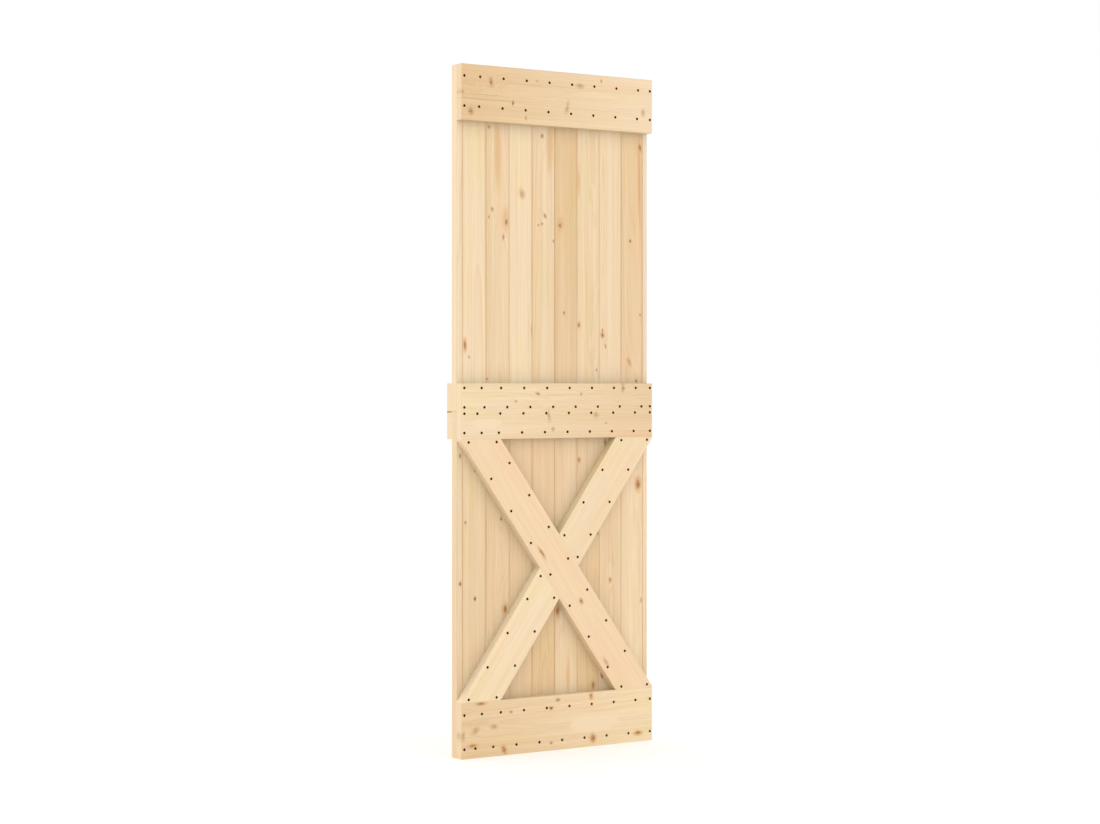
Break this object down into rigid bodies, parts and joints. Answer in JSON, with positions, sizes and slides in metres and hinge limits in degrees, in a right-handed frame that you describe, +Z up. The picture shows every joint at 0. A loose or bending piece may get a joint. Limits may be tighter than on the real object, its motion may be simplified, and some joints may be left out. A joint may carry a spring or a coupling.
{
  "type": "barn door",
  "caption": "Wooden barn door leaf of vertical tongue and groove boards with front rails and an X brace below, screwed together.",
  "frame": {"origin": "middle of the leaf's bottom edge, halfway through its overall thickness, which is the boards' mid-plane", "axes": "+Z up, +X to the right seen from the braced side, +Y from the braced side towards the back"},
  "size_m": [0.7, 0.084, 2.08],
  "materials": {
    "boards": "bare planed pine",
    "rails": "bare planed pine",
    "braces": "bare planed pine",
    "screws": "dark bronze coating"
  },
  "bodies": {
    "root": {"upper_left_strip": "boards", "upper_board_1": "boards", "upper_board_2": "boards", "upper_board_3": "boards", "upper_board_4": "boards", "upper_board_5": "boards", "upper_board_6": "boards", "upper_board_7": "boards", "upper_board_8": "boards", "upper_right_strip": "boards", "lower_left_strip": "boards", "lower_board_1": "boards", "lower_board_2": "boards", "lower_board_3": "boards", "lower_board_4": "boards", "lower_board_5": "boards", "lower_board_6": "boards", "lower_board_7": "boards", "lower_board_8": "boards", "lower_right_strip": "boards", "top_rail": "rails", "middle_rail": "rails", "bottom_rail": "rails", "back_rail": "rails", "full_brace": "braces", "upper_half_brace": "braces", "lower_half_brace": "braces", "top_rail_screws": "screws", "middle_rail_screws": "screws", "bottom_rail_screws": "screws", "full_brace_screws": "screws", "upper_half_brace_screws": "screws", "lower_half_brace_screws": "screws"}
  },
  "joints": []
}
